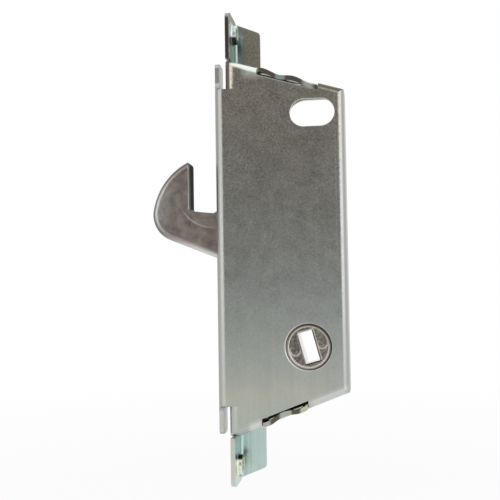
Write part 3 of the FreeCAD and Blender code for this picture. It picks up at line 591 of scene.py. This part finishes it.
def tab_marks(tree, parts, colour):
    """Painted shade and highlights on the crimped tabs: dark crests, a pale greenish painted highlight in
    the valleys above and pale painted highlights at the ends.
    """
    # Painted shade on the tabs and their crests, painted highlights in the upper valleys and at the ends
    upper_tab = zone(tree, parts, **UPPER_TAB)
    colour = tinted(tree, colour, upper_tab, UPPER_TAB_SHADE)
    valley = remap(tree, wave(tree, parts, UPPER_CREST, UPPER_WAVE), -0.1, -0.75, 0.0, 0.9)
    colour = tinted(tree, colour, product(tree, upper_tab, valley), UPPER_VALLEY_HIGHLIGHT)
    colour = tinted(tree, colour, zone(tree, parts, **UPPER_TAB_END), UPPER_TAB_END_HIGHLIGHT, 0.8)
    crest = remap(tree, wave(tree, parts, LOWER_CREST, LOWER_WAVE), -0.2, 0.5, 0.0, 1.0)
    crest = product(tree, zone(tree, parts, **LOWER_TAB), crest)
    colour = tinted(tree, colour, crest, LOWER_CREST_SHADE)
    return tinted(tree, colour, zone(tree, parts, **LOWER_TAB_END), LOWER_TAB_END_HIGHLIGHT, 0.8)


def cover_marks(tree, parts, colour):
    """Tints of the ears, painted shade and highlights on the crimped tabs, and on each collar a painted
    reflection with a painted shadow on its half turned to the case.
    """
    colour = ear_marks(tree, parts, colour)
    colour = tab_marks(tree, parts, colour)
    across = (-COLLAR_REACH, COLLAR_REACH)
    for height, tint, root_tint, root_heights in COLLARS:
        heights = (height - COLLAR_REACH, height + COLLAR_REACH)
        collar = zone(tree, parts, 0.2, X=COLLAR_DEPTH, Y=across, Z=heights)
        # Painted reflection on each collar, and painted shadow on its half turned to the case
        colour = tinted(tree, colour, collar, tint)
        root = product(tree, collar, within(tree, parts["Z"], *root_heights, 0.3))
        colour = tinted(tree, colour, root, root_tint)
    return colour


def rough_hook_steel():
    """Tumbled hardened steel: purplish brown faces, painted highlights on the lower left rim, the step
    and the burr, painted shade and highlight on the side-facing edges, a painted shadow beside the step
    and a dark sheared throat with painted shade.
    """
    material, tree, surface, where = start_material("rough hook steel")
    parts = axes(tree, where)
    turned = facing(tree)
    flatness = arithmetic(tree, "ABSOLUTE", turned["Y"])
    colour = blend(tree, clouds(tree, where, 5.0, 0.0, 1.0, 5.0, 0.6), HOOK_DARK, HOOK_LIGHT)
    # Painted highlight on the lower left part of the rim
    towards_rim = remap(tree, away_from(tree, parts, *HOOK_BACK_CENTRE), 17.5, 21.5, 0.0, 0.9)
    towards_rim = product(tree, towards_rim, remap(tree, parts["Z"], 15.0, 21.0, 1.0, 0.0))
    colour = tinted(tree, colour, towards_rim, HOOK_RIM_HIGHLIGHT)

    from_step = away_from(tree, parts, *STEP_CENTRE)
    near_step = zone(tree, parts, **STEP_PLACE)
    # Painted shadow beside the step, broken up by noise
    shadow = product(tree, near_step, within(tree, from_step, STEP_RADIUS + 0.5, STEP_RADIUS + 2.2, 0.5))
    shadow = product(tree, shadow, clouds(tree, where, 1.2, 0.0, 0.55))
    colour = tinted(tree, colour, shadow, HOOK_SHEARED_AND_SHADOW)
    # Painted highlight along the step's edge
    line = within(tree, from_step, STEP_RADIUS - 0.1, STEP_RADIUS + 0.15, 0.15)
    colour = tinted(tree, colour, product(tree, near_step, line), HOOK_RIM_HIGHLIGHT, 0.3)

    # Painted highlight along the burr on the throat's edge
    colour = tinted(tree, colour, zone(tree, parts, **THROAT_BURR), THROAT_BURR_HIGHLIGHT, 0.8)
    # Painted shade on the side-facing edges, a painted highlight on them low down and darker painted
    # shade at the tip; these edges are also rougher
    side_facing = remap(tree, flatness, 0.985, 0.80, 0.0, 1.0)
    rim = blend(tree, remap(tree, parts["Z"], 0.0, 5.0, 1.0, 0.0), HOOK_EDGE_SHADING, HOOK_EDGE_SHADING_BELOW)
    rim = blend(tree, remap(tree, parts["Z"], 17.0, 22.0, 0.0, 1.0), rim, HOOK_EDGE_SHADING_TIP)
    colour = tinted(tree, colour, side_facing, rim)
    # The sheared throat wall: dark as sheared steel, deepened by painted shade
    sheared = product(tree, zone(tree, parts, **THROAT), remap(tree, turned["X"], 0.75, 0.9, 0.0, 1.0))
    colour = tinted(tree, colour, sheared, HOOK_SHEARED_AND_SHADOW)

    roughness = clouds(tree, where, 2.0, 0.30, 0.42, 4.0, 0.6)
    roughness = arithmetic(tree, "ADD", roughness, product(tree, side_facing, 0.08))
    roughness = arithmetic(tree, "ADD", roughness, product(tree, sheared, 0.5))
    normal = bump(tree, noise(tree, where, 3.0, 5.0, 0.6), 0.14, 0.35, softened_edges(tree, 0.15))
    normal = bump(tree, noise(tree, where, 0.55, 3.0, 0.6), 0.04, 0.35, normal)
    raised = remap(tree, from_step, STEP_RADIUS - 0.25, STEP_RADIUS + 0.25, 1.0, 0.0)
    normal = bump(tree, product(tree, near_step, raised), 0.15, 0.5, normal)
    finish_metal(tree, surface, colour, roughness, normal)
    return material


def keyway_outline(tree, parts, hub_x, hub_z, colour):
    """A dark line of painted shade and a pale line of painted highlight along the keyway's rim, where its
    bevel takes the light.
    """
    tilt = math.radians(KEY_TILT)
    aside = arithmetic(tree, "SUBTRACT", parts["X"], hub_x)
    above = arithmetic(tree, "SUBTRACT", parts["Z"], hub_z)
    across = arithmetic(
        tree, "ADD", product(tree, aside, math.cos(tilt)), product(tree, above, math.sin(tilt))
    )
    along = arithmetic(
        tree, "SUBTRACT", product(tree, above, math.cos(tilt)), product(tree, aside, math.sin(tilt))
    )
    half_width = KEY_WIDTH / 2
    half_length = KEY_LENGTH / 2
    dark_width, dark_below, dark_tint = KEY_DARK_LINE
    pale_width, pale_above, pale_tint = KEY_PALE_LINE
    for right, low, high, tint in (
        (half_width + pale_width, -half_length, half_length + pale_above, pale_tint),
        (half_width + dark_width, -half_length - dark_below, half_length, dark_tint),
    ):
        line = zone(tree, {"X": across, "Z": along}, 0.07, X=(-half_width, right), Z=(low, high))
        colour = tinted(tree, colour, line, tint, 0.85)
    return colour


def cast_marks(tree, parts, hub_x, hub_z, colour):
    """Painted highlights on the rims of the two round cast marks on the hub's near face, stronger below.
    """
    tilt = math.radians(KEY_TILT)
    near = remap(tree, parts["Y"], -1.0, 1.0, 1.0, 0.0)
    for hand in (-1.0, 1.0):
        mark_x = hub_x + hand * MARK_OFFSET * math.cos(tilt)
        mark_z = hub_z + hand * MARK_OFFSET * math.sin(tilt)
        from_mark = away_from(tree, parts, mark_x, mark_z)
        rim = within(tree, from_mark, MARK_RADIUS, MARK_RADIUS + MARK_RIM, 0.12)
        rim = product(tree, rim, remap(tree, parts["Z"], mark_z - 1.0, mark_z + 1.2, 0.9, 0.25))
        colour = tinted(tree, colour, product(tree, rim, near), MARK_RIM_HIGHLIGHT)
    return colour


def die_cast_zinc():
    """Die-cast zinc: a mottled skin on the sunk face, painted shade on its left side, on the keyway's
    bevel and in the gap around it, painted highlights on its slope and rims, and bright broached keyway
    walls.
    """
    material, tree, surface, where = start_material("die cast zinc")
    parts = axes(tree, where)
    flatness = arithmetic(tree, "ABSOLUTE", facing(tree)["Y"])
    hub_x, _, hub_z = (value / MM for value in JOINTS["hub_turn"]["pos_m"])
    distance = away_from(tree, parts, hub_x, hub_z)
    colour = blend(tree, clouds(tree, where, 0.75, 0.0, 1.0, 4.0, 0.65), CAST_DARK, CAST_LIGHT)
    keyway = remap(tree, distance, KEY_REACH, KEY_REACH + 0.1, 1.0, 0.0)
    # Painted shade on the keyway's bevel, by the way it faces
    bevel = product(tree, keyway, within(tree, flatness, 0.4, 0.93, 0.04))
    colour = tinted(tree, colour, bevel, KEY_BEVEL_SHADE, 0.85)
    colour = shade(tree, colour, remap(tree, parts["X"], hub_x - 6.0, hub_x + 4.0, CAST_LEFT_SHADE, 1.0))
    colour = cast_marks(tree, parts, hub_x, hub_z, colour)

    # The face ring's brown tone, painted lighter below and darker above
    low_to_high = remap(tree, parts["Z"], hub_z - 5.0, hub_z + 3.0, 0.0, 1.0)
    ring_tint = blend(tree, low_to_high, FACE_RING_LOW_TINT, FACE_RING_HIGH_TINT)
    colour = tinted(tree, colour, within(tree, distance, *FACE_RING, 0.08), ring_tint)
    # Painted shadow in the gap around the hub, stronger on its right
    left_to_right = remap(tree, parts["X"], hub_x - 6.0, hub_x + 3.0, 0.15, 0.75)
    gap_shadow = product(tree, within(tree, distance, *GAP_SHADOW_RING, 0.08), left_to_right)
    colour = tinted(tree, colour, gap_shadow, GAP_SHADOW_RING_TINT)
    # Painted highlight on the inner slope of the face
    colour = tinted(tree, colour, within(tree, distance, *FACE_SLOPE, 0.1), FACE_SLOPE_HIGHLIGHT)

    colour = keyway_outline(tree, parts, hub_x, hub_z, colour)
    wall = product(tree, keyway, remap(tree, flatness, 0.2, 0.3, 1.0, 0.0))
    colour = tinted(tree, colour, wall, KEY_WALL_TINT)
    normal = bump(tree, noise(tree, where, 0.8, 4.0, 0.65), 0.12, 0.6, softened_edges(tree, 0.12))
    finish_metal(tree, surface, colour, 0.36, normal)
    return material


def turned_steel():
    """Turned and lightly oiled steel of the posts, pins, washers and link."""
    material, tree, surface, where = start_material("turned steel")
    colour = blend(tree, noise(tree, where, 3.3), TURNED_DARK, TURNED_LIGHT)
    ridges = noise(tree, where, 2.5, 2.0, 0.5, (1.0, 12.0, 1.0))
    finish_metal(tree, surface, colour, 0.34, bump(tree, ridges, 0.02, 0.4))
    return material


def blued_spring_steel():
    """Blued strip of the leaf spring."""
    material, tree, surface, where = start_material("blued spring steel")
    colour = blend(tree, noise(tree, where, 5.0), BLUED_DARK, BLUED_LIGHT)
    finish_metal(tree, surface, colour, 0.30, bump(tree, noise(tree, where, 1.1), 0.01, 0.3))
    return material


def pressed_crimp():
    """Plated sheet pressed down under the tabs: grey, with painted highlights on the rims above and
    below.
    """
    material, tree, surface, where = start_material("pressed crimp")
    colour = blend(tree, clouds(tree, where, 0.9, 0.0, 1.0), CRIMP_DARK, CRIMP_LIGHT)
    upright = arithmetic(tree, "ABSOLUTE", facing(tree)["Z"])
    # Painted highlight on the rims that face up and down
    colour = tinted(tree, colour, remap(tree, upright, 0.35, 0.7, 0.0, 1.0), CRIMP_RIM_HIGHLIGHT)
    finish_metal(tree, surface, colour, 0.34, bump(tree, noise(tree, where, 0.5), 0.01, 0.4))
    return material


def tapped_thread():
    """Cut threads in the ears: bright, and slightly darker towards the side plate."""
    material, tree, surface, where = start_material("tapped thread")
    colour = blend(tree, clouds(tree, where, 0.4, 0.0, 1.0), THREAD_DARK, THREAD_LIGHT)
    colour = shade(tree, colour, remap(tree, axes(tree, where)["Y"], -1.8, 1.8, 0.85, 1.0))
    finish_metal(tree, surface, colour, 0.32, bump(tree, noise(tree, where, 0.3), 0.005, 0.4))
    return material


def add_node(tree, kind, **settings):
    """A new node with its settings."""
    node = tree.nodes.new(kind)
    for name, value in settings.items():
        setattr(node, name, value)
    return node


def repeating_tree(name, inputs, make_one, material):
    """A node tree that sets one shape on every point of a straight row."""
    tree = bpy.data.node_groups.new(name, "GeometryNodeTree")
    tree.interface.new_socket("Geometry", in_out="OUTPUT", socket_type="NodeSocketGeometry")
    for title, kind in (*inputs, *ROW_INPUTS):
        tree.interface.new_socket(title, in_out="INPUT", socket_type="NodeSocket" + kind)
    given = tree.nodes.new("NodeGroupInput").outputs
    row = add_node(tree, "GeometryNodeMeshLine", mode="OFFSET", count_mode="TOTAL")
    tree.links.new(given["Count"], row.inputs["Count"])
    tree.links.new(given["Start"], row.inputs["Start Location"])
    tree.links.new(given["Step"], row.inputs["Offset"])
    copies = tree.nodes.new("GeometryNodeInstanceOnPoints")
    tree.links.new(row.outputs["Mesh"], copies.inputs["Points"])
    tree.links.new(make_one(tree, given), copies.inputs["Instance"])
    tree.links.new(given["Turn"], copies.inputs["Rotation"])
    real = tree.nodes.new("GeometryNodeRealizeInstances")
    tree.links.new(copies.outputs["Instances"], real.inputs["Geometry"])
    finish = tree.nodes.new("GeometryNodeSetMaterial")
    finish.inputs["Material"].default_value = material
    tree.links.new(real.outputs["Geometry"], finish.inputs["Geometry"])
    result = tree.nodes.new("NodeGroupOutput")
    tree.links.new(finish.outputs["Geometry"], result.inputs["Geometry"])
    return tree


def one_crimp(tree, given):
    """A rounded pressing, as a ball drawn out to its three half sizes."""
    ball = tree.nodes.new("GeometryNodeMeshUVSphere")
    ball.inputs["Segments"].default_value = CRIMP_SEGMENTS
    ball.inputs["Rings"].default_value = CRIMP_RINGS
    ball.inputs["Radius"].default_value = 1.0
    drawn = tree.nodes.new("GeometryNodeTransform")
    tree.links.new(ball.outputs["Mesh"], drawn.inputs["Geometry"])
    tree.links.new(given["Half sizes"], drawn.inputs["Scale"])
    return drawn.outputs["Geometry"]


def one_thread_turn(tree, given):
    """One ridge of a thread: a small round section carried around a circle."""
    path = add_node(tree, "GeometryNodeCurvePrimitiveCircle", mode="RADIUS")
    path.inputs["Resolution"].default_value = THREAD_SEGMENTS
    tree.links.new(given["Thread radius"], path.inputs["Radius"])
    section = add_node(tree, "GeometryNodeCurvePrimitiveCircle", mode="RADIUS")
    section.inputs["Resolution"].default_value = RIDGE_SEGMENTS
    tree.links.new(given["Ridge radius"], section.inputs["Radius"])
    ridge = tree.nodes.new("GeometryNodeCurveToMesh")
    tree.links.new(path.outputs["Curve"], ridge.inputs["Curve"])
    tree.links.new(section.outputs["Curve"], ridge.inputs["Profile Curve"])
    return ridge.outputs["Mesh"]


def repeated_piece(name, tree, sizes):
    """Runs a node tree with these sizes and keeps its result as a plain smooth mesh on the case."""
    carrier = bpy.data.objects.new(name + " carrier", bpy.data.meshes.new(name + " carrier"))
    bpy.context.scene.collection.objects.link(carrier)
    modifier = carrier.modifiers.new(name, "NODES")
    modifier.node_group = tree
    for socket in tree.interface.items_tree:
        if socket.in_out == "INPUT":
            modifier[socket.identifier] = sizes[socket.name]
    shown = carrier.evaluated_get(bpy.context.evaluated_depsgraph_get())
    mesh = bpy.data.meshes.new_from_object(shown)
    carrier.modifiers.remove(modifier)
    bpy.data.objects.remove(carrier)
    mesh.name = name
    for face in mesh.polygons:
        face.use_smooth = True
    piece = bpy.data.objects.new(name, mesh)
    bpy.context.scene.collection.objects.link(piece)
    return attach(piece, "case")


def crimps(tree, name, edge, start, pitch, below, half_sizes):
    """The pressings under one crimped tab, in a row along the sloping edge of the case."""
    edge_x, edge_z, degrees = edge
    slope = math.radians(degrees)
    inward = -math.copysign(1.0, edge_z)
    first_z = edge_z + (start - edge_x) * math.tan(slope) + inward * below / math.cos(slope)
    sizes = {
        "Half sizes": [size * MM for size in half_sizes],
        "Count": CRIMP_COUNT,
        "Start": (start * MM, CRIMP_MIDDLE_Y * MM, first_z * MM),
        "Step": (pitch * math.cos(slope) * MM, 0.0, pitch * math.sin(slope) * MM),
        "Turn": (0.0, -slope, 0.0),
    }
    return repeated_piece(name, tree, sizes)


def ear_thread(tree, name, height):
    """The thread turns inside one ear hole."""
    sizes = {
        "Thread radius": THREAD_RADIUS * MM,
        "Ridge radius": THREAD_RIDGE * MM,
        "Count": THREAD_TURNS,
        "Start": (THREAD_START * MM, 0.0, height * MM),
        "Step": (THREAD_PITCH * MM, 0.0, 0.0),
        "Turn": (0.0, math.radians(90.0), 0.0),
    }
    return repeated_piece(name, tree, sizes)


def dress(names, material):
    """Gives these CAD nodes their finish."""
    for name in names:
        for slot in NODES[name].material_slots:
            slot.material = material


def seen_directly(tree):
    """1 for rays that see the surface directly, in a mirror or through glass."""
    path = tree.nodes.new("ShaderNodeLightPath")
    seen = path.outputs["Is Camera Ray"]
    for name in ("Is Glossy Ray", "Is Transmission Ray"):
        seen = arithmetic(tree, "MAXIMUM", seen, path.outputs[name])
    return seen


def stage_piece(name, corners, material):
    """A flat four-cornered piece of the studio."""
    mesh = bpy.data.meshes.new(name)
    mesh.from_pydata([Vector(corner) * MM for corner in corners], [], [(0, 1, 2, 3)])
    mesh.materials.append(material)
    piece = bpy.data.objects.new(name, mesh)
    bpy.context.scene.collection.objects.link(piece)
    return piece


def studio_paint(name, colour):
    """Matt paint for the floor or the card."""
    material, tree, paint, where = start_material(name)
    paint.inputs["Base Color"].default_value = (*colour, 1.0)
    paint.inputs["Roughness"].default_value = MATT
    return material, tree, paint, where


def pale_floor(low):
    """A plain white floor below the lower ear, which takes a soft shadow near the lock."""
    material, tree, paint, where = studio_paint("white floor paint", FLOOR_PAINT)
    flat = axes(tree, where)
    squares = arithmetic(
        tree, "ADD", product(tree, flat["X"], flat["X"]), product(tree, flat["Y"], flat["Y"])
    )
    distance = arithmetic(tree, "SQRT", squares)
    paint_share = remap(tree, distance, FLOOR_FADE_START, FLOOR_FADE_END, FLOOR_PAINT_SHARE, 0.0)
    white_share = product(tree, seen_directly(tree), arithmetic(tree, "SUBTRACT", 1.0, paint_share))
    white = tree.nodes.new("ShaderNodeEmission")
    mixed = tree.nodes.new("ShaderNodeMixShader")
    tree.links.new(white_share, mixed.inputs[0])
    tree.links.new(paint.outputs[0], mixed.inputs[1])
    tree.links.new(white.outputs[0], mixed.inputs[2])
    tree.links.new(mixed.outputs[0], tree.nodes["Material Output"].inputs["Surface"])
    half = FLOOR_HALF
    corners = [(-half, -half, low), (half, -half, low), (half, half, low), (-half, half, low)]
    stage_piece("white floor", corners, material)


def grey_card(low):
    """A grey card behind the camera, which the side plate mirrors; the camera never shows it."""
    material, _, _, _ = studio_paint("grey card", CARD_PAINT)
    corners = [
        (CARD_LEFT, CARD_BACK, low),
        (CARD_RIGHT, CARD_BACK, low),
        (CARD_RIGHT, CARD_BACK, CARD_TOP),
        (CARD_LEFT, CARD_BACK, CARD_TOP),
    ]
    card = stage_piece("grey card", corners, material)
    card.visible_camera = False


def white_world():
    """White where it is seen and a softer white as light."""
    world = bpy.data.worlds.new("white world")
    bpy.context.scene.world = world
    world.use_nodes = True
    tree = world.node_tree
    background = tree.nodes["Background"]
    background.inputs["Color"].default_value = (1.0, 1.0, 1.0, 1.0)
    strength = remap(tree, seen_directly(tree), 0.0, 1.0, WORLD_LIGHT, 1.0)
    tree.links.new(strength, background.inputs["Strength"])


def soft_lamp(name, place, watts):
    """A square soft lamp that shines on the middle of the lock."""
    data = bpy.data.lights.new(name, "AREA")
    data.size = LAMP_SIZE * MM
    data.energy = watts
    lamp = bpy.data.objects.new(name, data)
    lamp.location = Vector(place) * MM
    lamp.rotation_euler = (-Vector(place)).to_track_quat("-Z", "Y").to_euler()
    bpy.context.scene.collection.objects.link(lamp)


def photograph_camera():
    """The camera at the photograph's place and angle."""
    yaw = math.radians(CAMERA_YAW)
    pitch = math.radians(CAMERA_PITCH)
    roll = math.radians(CAMERA_ROLL)
    ahead = Vector((-math.sin(yaw) * math.cos(pitch), math.cos(yaw) * math.cos(pitch), math.sin(pitch)))
    level = Vector((math.cos(yaw), math.sin(yaw), 0.0))
    upright = level.cross(ahead)
    right = level * math.cos(roll) + upright * math.sin(roll)
    up = upright * math.cos(roll) - level * math.sin(roll)
    data = bpy.data.cameras.new("photograph camera")
    data.sensor_width = SENSOR_MM
    data.lens = LENS_MM
    data.clip_start = 0.01
    camera = bpy.data.objects.new("photograph camera", data)
    turned = Matrix((right, up, -ahead)).transposed().to_4x4()
    camera.matrix_world = Matrix.Translation(Vector(CAMERA_PLACE) * MM) @ turned
    bpy.context.scene.collection.objects.link(camera)
    bpy.context.scene.camera = camera


# The lock
dress(("case_body",), zinc_plated_sheet("zinc plated case", case_marks))
dress(("cover_plate",), zinc_plated_sheet("zinc plated cover", cover_marks, UPPER_EAR_DULL))
dress(("hook_bolt",), rough_hook_steel())
dress(("keyway_hub",), die_cast_zinc())
dress(("detent_spring",), blued_spring_steel())
dress(
    (
        "hook_pivot_post",
        "hook_washer_near",
        "hook_washer_far",
        "hook_link_pin",
        "hub_link_pin",
        "drive_link",
        "spring_anchor_post",
        "spring_support_post",
        "stop_post",
    ),
    turned_steel(),
)

crimp_tree = repeating_tree("crimp row", (("Half sizes", "Vector"),), one_crimp, pressed_crimp())
crimps(crimp_tree, "upper_crimps", **UPPER_CRIMPS)
crimps(crimp_tree, "lower_crimps", **LOWER_CRIMPS)
thread_sizes = (("Thread radius", "Float"), ("Ridge radius", "Float"))
thread_tree = repeating_tree("thread row", thread_sizes, one_thread_turn, tapped_thread())
ear_thread(thread_tree, "upper_ear_thread", EAR_HOLE_HEIGHT)
ear_thread(thread_tree, "lower_ear_thread", -EAR_HOLE_HEIGHT)

# The studio
floor_height = CAD_BOX[0][2] / MM - FLOOR_GAP
pale_floor(floor_height)
grey_card(floor_height)
white_world()
soft_lamp("left lamp", LEFT_LAMP, LEFT_LAMP_WATTS)
soft_lamp("right lamp", RIGHT_LAMP, RIGHT_LAMP_WATTS)
photograph_camera()

bpy.context.scene.view_settings.view_transform = "Standard"
